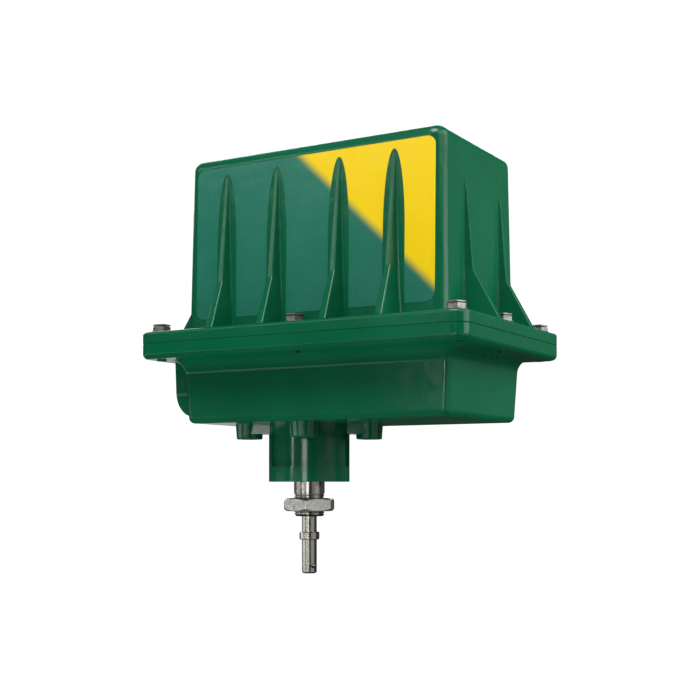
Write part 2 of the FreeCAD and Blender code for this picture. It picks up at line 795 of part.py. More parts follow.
def gear_outline(teeth, height, phase):
    """Closed outline of a spur gear with involute flanks, thinned a little for play."""
    pitch = gear_module * teeth / 2
    base = pitch * math.cos(math.radians(pressure_angle))
    tip = pitch + 0.85 * gear_module
    root = pitch - 1.15 * gear_module

    def roll(radius):
        angle = math.acos(min(1.0, base / radius))
        return math.tan(angle) - angle

    half = math.pi / (2 * teeth) - tooth_play / (2 * pitch)
    flank = []
    for radius in (root, pitch, tip):
        start = max(radius, base)
        flank.append((radius, half + roll(pitch) - roll(start)))
    points = []
    for tooth in range(teeth):
        centre = math.radians(phase) + 2 * math.pi * tooth / teeth
        for side, steps in ((-1, flank), (1, flank[::-1])):
            for radius, offset in steps:
                angle = centre + side * offset
                points.append(vec(radius * math.cos(angle), radius * math.sin(angle), height))
    return Part.makePolygon(points + points[:1])


def gear(teeth, bottom, top, x=0.0, y=0.0, phase=0.0):
    body = Part.Face(gear_outline(teeth, bottom, phase)).extrude(vec(0, 0, top - bottom))
    body.translate(vec(x, y, 0))
    return body


def make_screw():
    shaft = screw_diameter / 2
    journal = journal_diameter / 2
    shoulder = bearing_foot - axial_gap
    return turned([(0, screw_foot), (shaft - 1, screw_foot), (shaft, screw_foot + 1), (shaft, shoulder),
                   (journal, shoulder), (journal, screw_top - 1), (journal - 1, screw_top), (0, screw_top)])


def make_screw_gear():
    body = gear(screw_gear_teeth, gear_foot, gear_top)
    body = body.fuse(cylinder(gear_hub_radius, gear_hub_foot, gear_foot + 1))
    for hole in range(6):
        turn = math.radians(30 + 60 * hole)
        place = 0.62 * gear_module * screw_gear_teeth / 2
        body = body.cut(cylinder(5.0, gear_foot, gear_top, place * math.cos(turn), place * math.sin(turn)))
    return body.cut(cylinder(journal_diameter / 2, gear_hub_foot, gear_top))


def make_end_nut():
    body = hexagon(end_nut_hexagon, gear_top, gear_top + end_nut_height)
    return body.cut(cylinder(journal_diameter / 2, gear_top, gear_top + end_nut_height))


def make_idler_gears():
    """Large gear and pinion in one piece, turning on a fixed shaft."""
    pinion = gear(idler_pinion_teeth, gear_foot - pinion_overhang, gear_top + pinion_overhang,
                  idler_place, 0, 180.0 / idler_pinion_teeth)
    wheel = gear(idler_gear_teeth, second_foot, second_top, idler_place, 0)
    hub = cylinder(idler_hub_radius, plate_top + axial_gap, motor_plate_foot - axial_gap, idler_place)
    bore = cylinder(idler_shaft_diameter / 2 + running_gap, plate_top, motor_plate_foot, idler_place)
    return pinion.multiFuse([wheel, hub]).cut(bore)


def make_motor_pinion():
    body = gear(motor_pinion_teeth, second_foot - pinion_overhang, second_top + pinion_overhang,
                motor_place, 0, 180.0 / motor_pinion_teeth)
    return body.cut(cylinder(motor_shaft_diameter / 2, second_foot - 1, second_top + 1, motor_place))


def make_motor_shaft():
    return cylinder(motor_shaft_diameter / 2, second_foot - pinion_overhang,
                    motor_plate_top + motor_shaft_inside, motor_place)


def make_sensor_gear():
    body = gear(sensor_gear_teeth, gear_foot + 1, gear_top - 1, sensor_x, sensor_y, 180.0 / sensor_gear_teeth)
    shaft = cylinder(sensor_shaft_diameter / 2, plate_foot - sensor_length / 2, gear_top, sensor_x, sensor_y)
    return body.fuse(shaft)


def make_ball_nut():
    body = turned([(0, nut_seat), (nut_flange_radius, nut_seat), (nut_flange_radius, arm_foot),
                   (ball_nut_radius, arm_foot), (ball_nut_radius, ball_nut_top - 1),
                   (ball_nut_radius - 1, ball_nut_top), (0, ball_nut_top)])
    return body.cut(cylinder(screw_diameter / 2 + running_gap, nut_seat, ball_nut_top))


def make_carrier():
    """Cup that joins the ball nut to the stem and clears the end of the screw."""
    flange_foot = nut_seat - carrier_flange
    body = turned([(0, carrier_foot), (carrier_radius - 1, carrier_foot), (carrier_radius, carrier_foot + 1),
                   (carrier_radius, flange_foot), (nut_flange_radius, flange_foot),
                   (nut_flange_radius, nut_seat), (0, nut_seat)])
    body = body.cut(cylinder(screw_diameter / 2 + 0.6, carrier_bore_foot, nut_seat))
    return body.cut(cylinder(stem_diameter / 2, carrier_foot, carrier_foot + stem_socket))


def make_guide_arm():
    """Plate on the ball nut that slides on the guide rod and keeps the nut from turning."""
    width = guide_rod_diameter + 8
    top = arm_foot + arm_height
    plate = cylinder(nut_flange_radius, arm_foot, top)
    arm = Part.makeBox(width, guide_rod_place, arm_height, vec(-width / 2, -guide_rod_place, arm_foot))
    end = cylinder(width / 2, arm_foot, top, 0, -guide_rod_place)
    body = plate.multiFuse([arm, end])
    body = body.cut(cylinder(ball_nut_radius, arm_foot, top))
    return body.cut(cylinder(guide_rod_diameter / 2 + running_gap, arm_foot, top, 0, -guide_rod_place))


def make_cartridge():
    """Flanged sleeve for the two bearings, with a lip under them."""
    bore = bearing_outside / 2
    lip = bore - cartridge_lip_width
    return turned([(lip, cartridge_foot), (cartridge_radius, cartridge_foot), (cartridge_radius, plate_top),
                   (cartridge_flange_radius, plate_top), (cartridge_flange_radius, bearing_top),
                   (bore, bearing_top), (bore, bearing_foot), (lip, bearing_foot)])


def make_gear_plate():
    body = rounded_plate(plate_left, plate_right, plate_half_width, plate_corner, plate_foot, plate_top)
    holes = [cylinder(cartridge_radius, plate_foot, plate_top),
             cylinder(guide_rod_diameter / 2, plate_foot, plate_top, 0, -guide_rod_place),
             cylinder(idler_shaft_diameter / 2, plate_foot, plate_top, idler_place),
             cylinder(sensor_neck_radius, plate_foot, plate_top, sensor_x, sensor_y)]
    holes += [cylinder(post_screw / 2 + 0.3, plate_foot, plate_top, x, y) for x, y in post_places]
    for hole in holes:
        body = body.cut(hole)
    return body


def rounded_plate(left, right, half_width, radius, bottom, top):
    face = Part.Face(rounded_outline(left, right, -half_width, half_width, radius, bottom))
    return face.extrude(vec(0, 0, top - bottom))


def make_plate_screws():
    screws = []
    for x, y in post_places:
        head = cylinder(post_screw_head / 2, plate_top, plate_top + post_screw_head_height, x, y)
        shank = cylinder(post_screw / 2, plate_foot - post_screw_depth + 1, plate_top + 1, x, y)
        socket = hexagon(post_screw * 0.8, plate_top + 1.5, plate_top + 5, x, y)
        screws.append(head.fuse(shank).cut(socket))
    return screws


def make_motor_plate():
    body = rounded_plate(motor_plate_left, motor_plate_right, motor_plate_half_width, plate_corner,
                         motor_plate_foot, motor_plate_top)
    body = body.cut(cylinder(motor_pilot / 2, motor_plate_foot, motor_plate_top, motor_place))
    return body.cut(cylinder(idler_shaft_diameter / 2, motor_plate_foot, motor_plate_top, idler_place))


def make_motor():
    """Square stepping motor with a laminated waist between its end caps."""
    left = motor_place - motor_size / 2
    right = motor_place + motor_size / 2
    half = motor_size / 2
    waist = motor_waist
    caps = [rounded_plate(left, right, half, motor_corner, motor_plate_top, motor_plate_top + motor_cap),
            rounded_plate(left, right, half, motor_corner, motor_top - motor_cap, motor_top),
            rounded_plate(left + waist, right - waist, half - waist, motor_corner,
                          motor_plate_top + motor_cap, motor_top - motor_cap),
            cylinder(motor_pilot / 2, motor_plate_top - motor_pilot_height, motor_plate_top, motor_place)]
    body = caps[0].multiFuse(caps[1:])
    return body.cut(cylinder(motor_shaft_diameter / 2 + running_gap, motor_plate_top - motor_pilot_height,
                             motor_plate_top + motor_shaft_inside + 1, motor_place))


def make_sensor():
    body = cylinder(sensor_radius, plate_foot - sensor_length, plate_foot, sensor_x, sensor_y)
    neck = cylinder(sensor_neck_radius, plate_foot - 1, plate_top + 1, sensor_x, sensor_y)
    bore = cylinder(sensor_shaft_diameter / 2 + running_gap, plate_foot - sensor_length / 2 - 0.5,
                    plate_top + 1, sensor_x, sensor_y)
    return body.fuse(neck).cut(bore)


# Electronics

board_face = plate_right - bracket_thickness - board_stand_off - board_thickness
board_foot = plate_top + board_rise


def make_bracket():
    """Bent sheet that holds the board upright on the gear plate."""
    left = plate_right - bracket_foot
    half = board_half_width - plate_corner
    foot = Part.makeBox(bracket_foot, 2 * half, bracket_thickness, vec(left, -half, plate_top))
    inner = plate_right - bracket_thickness
    wall = Part.makeBox(bracket_thickness, 2 * half, bracket_height, vec(inner, -half, plate_top))
    body = foot.fuse(wall).removeSplitter()
    bend = [edge for edge in body.Edges if edge.BoundBox.YLength > half
            and abs(edge.BoundBox.XMin - plate_right) < 0.01 and abs(edge.BoundBox.ZMin - plate_top) < 0.01]
    return body.makeFillet(bracket_bend, bend)


spacer_side = board_half_width - 2 * plate_corner
board_hole_places = [(y, z) for y in (-spacer_side, spacer_side)
                     for z in (board_foot + board_hole_edge, board_foot + board_height - board_hole_edge)]


def make_board():
    body = Part.makeBox(board_thickness, 2 * board_half_width, board_height,
                        vec(board_face, -board_half_width, board_foot))
    upright = [edge for edge in body.Edges if edge.BoundBox.XLength > board_thickness / 2]
    return body.makeFillet(board_corner, upright)


def make_board_spacers():
    start = board_face + board_thickness
    return [Part.makeCylinder(spacer_radius, board_stand_off, vec(start, y, z), vec(1, 0, 0))
            for y, z in board_hole_places]


def make_board_parts():
    """Capacitors, relays, a finned heat sink and a row of connectors on the board."""
    parts = []
    front = component_edge - board_half_width
    for row in range(3):
        place = vec(board_face, front + capacitor_radius + capacitor_pitch * row, board_foot + capacitor_rise)
        parts.append(Part.makeCylinder(capacitor_radius, capacitor_length, place, vec(-1, 0, 0)))
    for row in range(2):
        corner = vec(board_face - relay_depth, front + relay_pitch * row, board_foot + relay_rise)
        parts.append(Part.makeBox(relay_depth, relay_width, relay_height, corner))
    sink_foot = board_foot + sink_rise
    sink = Part.makeBox(sink_base, sink_width, sink_height, vec(board_face - sink_base, sink_edge, sink_foot))
    fin_pitch = (sink_width - fin_width) / (fin_count - 1)
    fins = [Part.makeBox(sink_depth - sink_base + 1, fin_width, sink_height,
                         vec(board_face - sink_depth, sink_edge + fin_pitch * fin, sink_foot))
            for fin in range(fin_count)]
    parts.append(sink.multiFuse(fins))
    for row in range(connector_count):
        corner = vec(board_face - connector_depth, front + connector_pitch * row,
                     board_foot + board_height - connector_drop)
        size = vec(connector_depth, connector_width, connector_height)
        hollow = size - vec(2, 2, 2) * connector_wall
        socket = Part.makeBox(*size, corner)
        mouth = Part.makeBox(*hollow, corner + vec(0, connector_wall, connector_wall))
        parts.append(socket.cut(mouth))
    return parts


def make_supply():
    body = Part.makeBox(supply_length, 2 * supply_half_width, supply_height,
                        vec(supply_left, -supply_half_width, floor_top))
    return body.makeFillet(supply_round, edges_at(body, floor_top + supply_height))


def make_terminal_block():
    length = terminal_ways * terminal_pitch
    top = floor_top + terminal_height
    body = Part.makeBox(terminal_width, length, terminal_height, vec(terminal_left, -length / 2, floor_top))
    for way in range(terminal_ways):
        y = (way + 0.5) * terminal_pitch - length / 2
        middle = terminal_left + terminal_width / 2
        body = body.cut(cylinder(terminal_screw_radius, top - terminal_screw_depth, top, middle, y))
        mouth = Part.makeBox(terminal_mouth, terminal_mouth, terminal_mouth,
                             vec(terminal_left, y - terminal_mouth / 2, floor_top + terminal_mouth_rise))
        body = body.cut(mouth)
    return body


# Decal film

def make_decal():
    """Thin film on the front wall, with an open slot around each rib."""
    top = cover_top - decal_top_drop
    foot = flange_top + decal_foot_rise
    middle = (top + foot) / 2
    half_height = (top - foot) / 2
    lean = wall_lean * (middle - flange_top)
    left = flange_left + cover_inset_left + lean + decal_left - housing_shift
    right = flange_right - cover_inset_right - lean - decal_right - housing_shift
    outline = rounded_outline(left, right, -half_height, half_height, decal_corner, 0)
    film = Part.Face(outline).extrude(vec(0, 0, decal_thickness))
    tip = cover_top - rib_tip_drop - middle + decal_tip_gap
    spring = tip - decal_arch_height
    below = -half_height - 1
    for rib in (-front_rib_outer, -front_rib_inner, front_rib_inner, front_rib_outer):
        place = rib + front_rib_shift
        near = place - decal_slot_half
        far = place + decal_slot_half
        arch = Part.Ellipse(vec(place, tip, -1), vec(near, spring, -1), vec(place, spring, -1))
        edges = [Part.Arc(arch, -math.pi / 2, math.pi / 2).toShape(),
                 Part.LineSegment(vec(near, spring, -1), vec(near, below, -1)).toShape(),
                 Part.LineSegment(vec(near, below, -1), vec(far, below, -1)).toShape(),
                 Part.LineSegment(vec(far, below, -1), vec(far, spring, -1)).toShape()]
        film = film.cut(Part.Face(Part.Wire(Part.__sortEdges__(edges))).extrude(vec(0, 0, 3)))
    film.rotate(vec(0, 0, 0), vec(1, 0, 0), 90 - cover_draft)
    film.translate(vec(housing_shift, lean + cover_inset_front - flange_width / 2, middle))
    return film


# Write every part

save("top_cover", make_cover())
save("lower_housing", make_lower_housing())
save("cover_seal", seal_ring(seam))
save("cover_bolts", make_cover_bolts())
save("cover_washers", make_cover_washers())
save("pipe_plug", make_pipe_plug())
save("earth_screw", make_earth_screw())
save("front_decal", make_decal())

save("hub", make_hub())
save("hub_bolts", make_hub_bolts())
save("hub_seal", ring(hub_seal_radius - hub_seal_section / 2, hub_seal_radius + hub_seal_section / 2,
                      hub_height - hub_seal_section, hub_height))
save("threaded_bush", make_bush())
save("stem_guide", ring(stem_diameter / 2 + running_gap, guide_outside / 2,
                        bush_top - guide_length, bush_top))
save("stem_wiper", ring(stem_diameter / 2 + running_gap, wiper_outside / 2,
                        -bush_length, wiper_height - bush_length))
save("lock_nut", make_lock_nut())
save("stem", make_stem())

save("nut_carrier", make_carrier())
save("ball_nut", make_ball_nut())
save("guide_arm", make_guide_arm())
save("guide_rod", cylinder(guide_rod_diameter / 2, rod_foot, plate_top, 0, -guide_rod_place))
save("ball_screw", make_screw())
save("screw_gear", make_screw_gear())
save("screw_end_nut", make_end_nut())
save("bearing_cartridge", make_cartridge())
save("screw_bearings", [ring(journal_diameter / 2 + running_gap, bearing_outside / 2,
                             bearing_foot + step * bearing_width, bearing_foot + (step + 1) * bearing_width)
                        for step in range(2)])
save("bearing_cap", ring(journal_diameter / 2 + 2, cartridge_flange_radius, bearing_top, cap_top))
save("gear_plate", make_gear_plate())
save("plate_screws", make_plate_screws())
save("idler_shaft", cylinder(idler_shaft_diameter / 2, plate_foot, motor_plate_top, idler_place))
save("idler_gears", make_idler_gears())
save("plate_pillars", [cylinder(pillar_radius, plate_top, motor_plate_foot, x, y) for x, y in pillar_places])
save("motor_plate", make_motor_plate())
save("motor", make_motor())
save("motor_shaft", make_motor_shaft())
save("motor_pinion", make_motor_pinion())
save("position_sensor", make_sensor())
save("sensor_gear", make_sensor_gear())

save("board_bracket", make_bracket())
save("control_board", make_board())
save("board_spacers", make_board_spacers())
save("board_components", make_board_parts())
save("power_supply", make_supply())
save("terminal_block", make_terminal_block())
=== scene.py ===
import json
import math

import bmesh
import bpy
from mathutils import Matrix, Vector


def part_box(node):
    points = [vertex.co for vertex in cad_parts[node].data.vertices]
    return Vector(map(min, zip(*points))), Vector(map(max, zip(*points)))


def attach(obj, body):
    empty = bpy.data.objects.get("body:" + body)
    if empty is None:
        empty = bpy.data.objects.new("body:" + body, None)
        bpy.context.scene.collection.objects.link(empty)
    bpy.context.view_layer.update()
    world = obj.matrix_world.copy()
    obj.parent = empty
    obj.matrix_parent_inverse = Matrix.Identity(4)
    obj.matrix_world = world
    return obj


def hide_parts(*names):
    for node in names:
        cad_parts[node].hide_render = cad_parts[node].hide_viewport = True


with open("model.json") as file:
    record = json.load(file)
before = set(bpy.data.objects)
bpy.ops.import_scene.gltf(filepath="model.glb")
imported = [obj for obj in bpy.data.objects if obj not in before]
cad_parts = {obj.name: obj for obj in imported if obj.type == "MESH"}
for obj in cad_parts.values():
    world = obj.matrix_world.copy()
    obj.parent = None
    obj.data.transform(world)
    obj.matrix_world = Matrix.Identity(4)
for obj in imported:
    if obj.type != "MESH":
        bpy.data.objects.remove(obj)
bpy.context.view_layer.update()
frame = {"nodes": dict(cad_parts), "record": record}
scene = bpy.context.scene
print("stage: frame loaded,", len(frame["nodes"]), "nodes")


# camera, level with the hub's seat, shifted up to take in the cover
cameraSetup = {
    "place": (0.5511, -0.8808, 0.0),
    "turn": 30.14,          # degrees to the right of the front
    "lens": 63.3,
    "sensor": 36.0,
    "shiftUp": 0.1883,
    "near": 0.01,
    "far": 100.0,
}


def makeCamera(setup):
    data = bpy.data.cameras.new("viewCamera")
    data.sensor_fit = "HORIZONTAL"
    data.sensor_width = setup["sensor"]
    data.lens = setup["lens"]
    data.shift_y = setup["shiftUp"]
    data.clip_start = setup["near"]
    data.clip_end = setup["far"]
    camera = bpy.data.objects.new("viewCamera", data)
    camera.location = setup["place"]
    camera.rotation_euler = (math.pi / 2, 0.0, math.radians(setup["turn"]))
    scene.collection.objects.link(camera)
    scene.camera = camera


# a node's output that takes part in Python arithmetic
class Wire:
    def __init__(self, tree, socket):
        self.tree = tree
        self.socket = socket

    def maths(self, operation, first, second):
        return self.tree.add("ShaderNodeMath", {"operation": operation}, {0: first, 1: second})

    def __add__(self, other):
        return self.maths("ADD", self, other)

    def __radd__(self, other):
        return self.maths("ADD", other, self)

    def __sub__(self, other):
        return self.maths("SUBTRACT", self, other)

    def __rsub__(self, other):
        return self.maths("SUBTRACT", other, self)

    def __mul__(self, other):
        return self.maths("MULTIPLY", self, other)

    def __rmul__(self, other):
        return self.maths("MULTIPLY", other, self)

    def __truediv__(self, other):
        return self.maths("DIVIDE", self, other)


# a node tree of either kind, with one method that adds any node
class Tree:
    def __init__(self, group):
        self.nodes = group.nodes
        self.links = group.links

    def feed(self, socket, value):
        # a wire, several wires for a socket that joins them, or a plain value
        if isinstance(value, (list, tuple)) and value and isinstance(value[0], Wire):
            for wire in reversed(value):
                self.links.new(wire.socket, socket)
        elif isinstance(value, Wire):
            self.links.new(value.socket, socket)
        elif socket.type == "RGBA":
            socket.default_value = (*value[:3], 1.0)
        else:
            socket.default_value = value

    def add(self, kind, settings=None, values=None, output=0):
        node = self.nodes.new(kind)
        for name, value in (settings or {}).items():
            setattr(node, name, value)
        for name, value in (values or {}).items():
            self.feed(node.inputs[name], value)
        return Wire(self, node.outputs[output])


# a material's tree; every texture in it reads object coordinates
class Finish(Tree):
    def __init__(self, name):
        self.material = bpy.data.materials.new(name)
        self.material.use_nodes = True
        super().__init__(self.material.node_tree)
        self.surface = self.nodes["Principled BSDF"]

    def place(self, turn=(0.0, 0.0, 0.0), scale=(1.0, 1.0, 1.0)):
        spot = self.add("ShaderNodeTexCoord", output="Object")
        values = {"Vector": spot, "Rotation": turn, "Scale": scale}
        return self.add("ShaderNodeMapping", {}, values)

    def axis(self, vector, letter):
        return self.add("ShaderNodeSeparateXYZ", {}, {"Vector": vector}, output=letter)

    def noise(self, vector, scale, detail, rough):
        values = {"Vector": vector, "Scale": scale, "Detail": detail, "Roughness": rough}
        return self.add("ShaderNodeTexNoise", {}, values)

    def band(self, value, low, high):
        # soft step from 0 at low to 1 at high
        values = {"Value": value, "From Min": low, "From Max": high}
        return self.add("ShaderNodeMapRange", {"interpolation_type": "SMOOTHSTEP"}, values)

    def mix(self, factor, first, second):
        values = {0: factor, 6: first, 7: second}
        return self.add("ShaderNodeMix", {"data_type": "RGBA"}, values, output=2)

    def bump(self, height, depth, strength, under=None):
        values = {"Height": height, "Distance": depth, "Strength": strength}
        if under is not None:
            values["Normal"] = under
        return self.add("ShaderNodeBump", {}, values)

    def done(self, **sockets):
        for name, value in sockets.items():
            self.feed(self.surface.inputs[name.replace("_", " ")], value)
        return self.material


def shaded(colour, share):
    return [value * share for value in colour]


# paints: glossy enamel on sand-cast aluminium
paintLook = {
    "green": (0.0016, 0.112, 0.047),
    "deepGreen": (0.0012, 0.090, 0.037),
    "paleGreen": (0.0026, 0.126, 0.056),
    "grime": (0.003, 0.026, 0.014),
    "gloss": 0.19,
    "refraction": 1.48,
    "swell": 0.0006,        # slow waves of the casting
    "peel": 0.00011,        # orange peel of the enamel
    "sand": 0.00005,
    "speck": 0.00025,       # grains of dirt in the paint
}

# how fine each pattern of the paint is
paintGrain = {
    "broad": 13.0,
    "cloud": 60.0,
    "patch": 70.0,          # specks come in patches
    "swell": 85.0,
    "speck": 170.0,
    "peel": 480.0,
    "sand": 1300.0,
}

# what the lower housing and the hub have of their own
housingGloss = 0.14
housingWaviness = 0.45
hubWaviness = 0.12
hubSpecks = 0.4


def enamel(name, look, waviness=1.0, specks=1.0):
    paint = Finish(name)
    spot = paint.place()
    broad = paint.noise(spot, paintGrain["broad"], 2.0, 0.5)
    cloud = paint.noise(spot, paintGrain["cloud"], 3.0, 0.6)
    swell = paint.noise(spot, paintGrain["swell"], 1.0, 0.4)
    peel = paint.noise(spot, paintGrain["peel"], 1.0, 0.4)
    sand = paint.noise(spot, paintGrain["sand"], 2.0, 0.5)
    cells = paint.add("ShaderNodeTexVoronoi", {"feature": "F1"},
                      {"Vector": spot, "Scale": paintGrain["speck"]})
    patch = paint.noise(spot, paintGrain["patch"], 1.0, 0.5)
    speck = paint.band(cells, 0.13, 0.07) * paint.band(patch, 0.62, 0.67) * specks
    colour = paint.mix(paint.band(broad, 0.35, 0.7), look["green"], look["paleGreen"])
    colour = paint.mix(paint.band(cloud, 0.5, 0.8) * 0.4, colour, look["deepGreen"])
    colour = paint.mix(speck * 0.7, colour, look["grime"])
    rough = look["gloss"] + paint.band(cloud, 0.45, 0.8) * 0.07 + speck * 0.25
    normal = paint.bump(swell, look["swell"] * waviness, 0.6)
    normal = paint.bump(peel, look["peel"] * waviness, 0.6, normal)
    normal = paint.bump(sand, look["sand"] * waviness, 0.5, normal)
    normal = paint.bump(speck, look["speck"], 0.6, normal)
    return paint.done(Base_Color=colour, Roughness=rough, Normal=normal, IOR=look["refraction"])


# printed film: green field and a yellow corner with a soft straight edge
filmLook = {
    "right": 0.1524,        # the film's right edge, on the front wall
    "top": 0.2549,
    "across": 0.118,        # yellow corner, measured along the top edge
    "down": 0.112,          # and down the right edge
    "feather": 0.0045,
    "field": (0.014, 0.172, 0.112),
    "paleField": (0.019, 0.186, 0.124),
    "yellow": (0.98, 0.68, 0.0015),
    "gloss": 0.24,
    "refraction": 1.46,
    "swell": 0.0007,
    "peel": 0.00007,
}

filmGrain = {
    "cloud": 22.0,
    "swell": 75.0,
    "peel": 420.0,
    "dust": 900.0,
}


def printedFilm(look):
    film = Finish("printedFilm")
    spot = film.place()
    fromRight = look["right"] - film.axis(spot, "X")
    fromTop = look["top"] - film.axis(spot, "Z")
    reach = math.hypot(look["across"], look["down"])
    depth = fromRight * (look["down"] / reach) + fromTop * (look["across"] / reach)
    edge = look["across"] * look["down"] / reach
    corner = film.band(depth, edge + look["feather"], edge - look["feather"])
    cloud = film.noise(spot, filmGrain["cloud"], 2.0, 0.5)
    field = film.mix(film.band(cloud, 0.3, 0.75), look["field"], look["paleField"])
    colour = film.mix(corner, field, look["yellow"])
    swell = film.noise(spot, filmGrain["swell"], 1.0, 0.4)
    peel = film.noise(spot, filmGrain["peel"], 1.0, 0.4)
    normal = film.bump(peel, look["peel"], 0.5, film.bump(swell, look["swell"], 0.5))
    dust = film.noise(spot, filmGrain["dust"], 2.0, 0.6)
    rough = look["gloss"] + film.band(dust, 0.55, 0.8) * 0.1
    return film.done(Base_Color=colour, Roughness=rough, Normal=normal, IOR=look["refraction"])


# metals
metalLook = {
    "stem": {"tone": (0.52, 0.51, 0.45), "stain": (0.35, 0.33, 0.28), "rough": 0.20,
             "cloudDepth": 0.00001},
    "nut": {"tone": (0.80, 0.80, 0.75), "stain": (0.58, 0.59, 0.55), "rough": 0.27,
            "cloudDepth": 0.00012, "gritDepth": 0.00006},
    "screw": {"tone": (0.42, 0.42, 0.39), "stain": (0.22, 0.22, 0.20), "rough": 0.34,
              "gritDepth": 0.00005},
}

# how fine the patterns of the metals are
metalGrain = {
    "rings": (40.0, 40.0, 7000.0),      # flat discs across the stem's axis
    "barCloud": 110.0,
    "marks": 520.0,
    "marksTurn": (0.5, 0.8, 0.2),
    "cloud": 260.0,
    "grit": 2200.0,
}

fastenerMetal = 0.9         # metallic value of the nut and the screws

# heights from the flange's underside where the paint on the screw tips begins and is full
tipPaint = {"begins": 0.0002, "full": -0.0001}


def turnedBar(name, look):
    # stainless bar turned about the stem's axis: fine rings, handling stains
    bar = Finish(name)
    rings = bar.noise(bar.place(scale=metalGrain["rings"]), 1.0, 2.0, 0.7)
    cloud = bar.noise(bar.place(), metalGrain["barCloud"], 4.0, 0.65)
    marks = bar.noise(bar.place(turn=metalGrain["marksTurn"]), metalGrain["marks"], 3.0, 0.7)
    colour = bar.mix(bar.band(cloud, 0.45, 0.75) * 0.3, look["tone"], look["stain"])
    colour = bar.mix(bar.band(marks, 0.68, 0.78) * 0.2, colour, shaded(look["stain"], 0.5))
    rough = look["rough"] + bar.band(rings, 0.3, 0.7) * 0.05 + bar.band(marks, 0.65, 0.8) * 0.08
    normal = bar.bump(cloud, look["cloudDepth"], 0.3)
    return bar.done(Base_Color=colour, Metallic=1.0, Roughness=rough, Normal=normal)


def steelTone(steel, cloud, grit, look):
    # tone and roughness of stained and gritty steel, as on all the fasteners
    colour = steel.mix(steel.band(cloud, 0.4, 0.7), look["tone"], look["stain"])
    colour = steel.mix(steel.band(grit, 0.6, 0.78) * 0.5, colour, shaded(look["stain"], 0.5))
    rough = look["rough"] + steel.band(cloud, 0.4, 0.8) * 0.15
    return colour, rough


def pressedSteel(name, look):
    # the lock nut, matt and slightly uneven
    steel = Finish(name)
    spot = steel.place()
    cloud = steel.noise(spot, metalGrain["cloud"], 4.0, 0.65)
    grit = steel.noise(spot, metalGrain["grit"], 3.0, 0.7)
    colour, rough = steelTone(steel, cloud, grit, look)
    normal = steel.bump(cloud, look["cloudDepth"], 0.4)
    normal = steel.bump(grit, look["gritDepth"], 0.6, normal)
    return steel.done(Base_Color=colour, Metallic=fastenerMetal, Roughness=rough, Normal=normal)


def flangeScrewSteel(name, look, paint, flangeUnder):
    # the tips below the flange took the housing's paint
    steel = Finish(name)
    spot = steel.place()
    cloud = steel.noise(spot, metalGrain["cloud"], 4.0, 0.65)
    grit = steel.noise(spot, metalGrain["grit"], 3.0, 0.7)
    metal, rough = steelTone(steel, cloud, grit, look)
    painted = steel.band(steel.axis(spot, "Z"), flangeUnder + tipPaint["begins"],
                         flangeUnder + tipPaint["full"])
    colour = steel.mix(painted, metal, paint["deepGreen"])
    normal = steel.bump(grit, look["gritDepth"], 0.6)
    return steel.done(Base_Color=colour, Metallic=fastenerMetal - painted * fastenerMetal,
                      Roughness=rough, Normal=normal)


# pieces inside the housing: one tone each, with a fine grain
plainLook = {
    "shade": 0.72,          # of the darker clouds
    "cloud": 160.0,
    "grain": 900.0,
    "grainDepth": 0.00004,
}

# by slot: name, tone, roughness, metal
plainTones = {
    "seal_rubber": ("sealRubber", (0.015, 0.015, 0.016), 0.6, 0.0),
    "bronze": ("bearingBronze", (0.42, 0.25, 0.10), 0.35, 1.0),
    "drive_steel": ("groundSteel", (0.48, 0.48, 0.49), 0.3, 1.0),
    "plate_aluminium": ("milledAluminium", (0.70, 0.70, 0.71), 0.36, 1.0),
    "motor_black": ("motorLacquer", (0.018, 0.018, 0.02), 0.42, 0.0),
    "circuit_board": ("boardResist", (0.012, 0.085, 0.035), 0.3, 0.0),
    "component_black": ("componentResin", (0.022, 0.022, 0.024), 0.45, 0.0),
    "terminal_grey": ("terminalResin", (0.30, 0.31, 0.31), 0.45, 0.0),
}


def plainStuff(name, colour, rough, metal, look):
    stuff = Finish(name)
    spot = stuff.place()
    cloud = stuff.noise(spot, look["cloud"], 3.0, 0.6)
    grain = stuff.noise(spot, look["grain"], 2.0, 0.6)
    tint = stuff.mix(stuff.band(cloud, 0.35, 0.75), colour, shaded(colour, look["shade"]))
    return stuff.done(Base_Color=tint, Metallic=metal,
                      Roughness=rough + stuff.band(grain, 0.4, 0.7) * 0.1,
                      Normal=stuff.bump(grain, look["grainDepth"], 0.5))


screwTipLength = 0.001      # of the bolts, below the flange


def makeFinishes():
    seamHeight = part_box("lower_housing")[1][2]
    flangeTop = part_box("cover_washers")[0][2]
    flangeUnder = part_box("cover_bolts")[0][2] + screwTipLength
    housingLook = dict(paintLook, gloss=housingGloss)
    finishes = {
        "cover_paint": enamel("coverEnamel", paintLook),
        "housing_paint": enamel("housingEnamel", housingLook, waviness=housingWaviness),
        "hub_paint": enamel("hubEnamel", housingLook, waviness=hubWaviness, specks=hubSpecks),
        "film": printedFilm(filmLook),
        "stainless": turnedBar("turnedStainless", metalLook["stem"]),
        "nutSteel": pressedSteel("nutSteel", metalLook["nut"]),
        "zinc": flangeScrewSteel("screwSteel", metalLook["screw"], paintLook, flangeUnder),
    }
    for slot, (name, colour, rough, metal) in plainTones.items():
        finishes[slot] = plainStuff(name, colour, rough, metal, plainLook)
    print("stage: finishes, seam at", round(seamHeight, 5), "flange top at", round(flangeTop, 5))
    return finishes


def dressNodes(finishes):
    for entry in frame["record"]["subparts"]:
        piece = frame["nodes"][entry["node"]]
        piece.data.materials.clear()
        piece.data.materials.append(finishes[entry["material_slot"]])


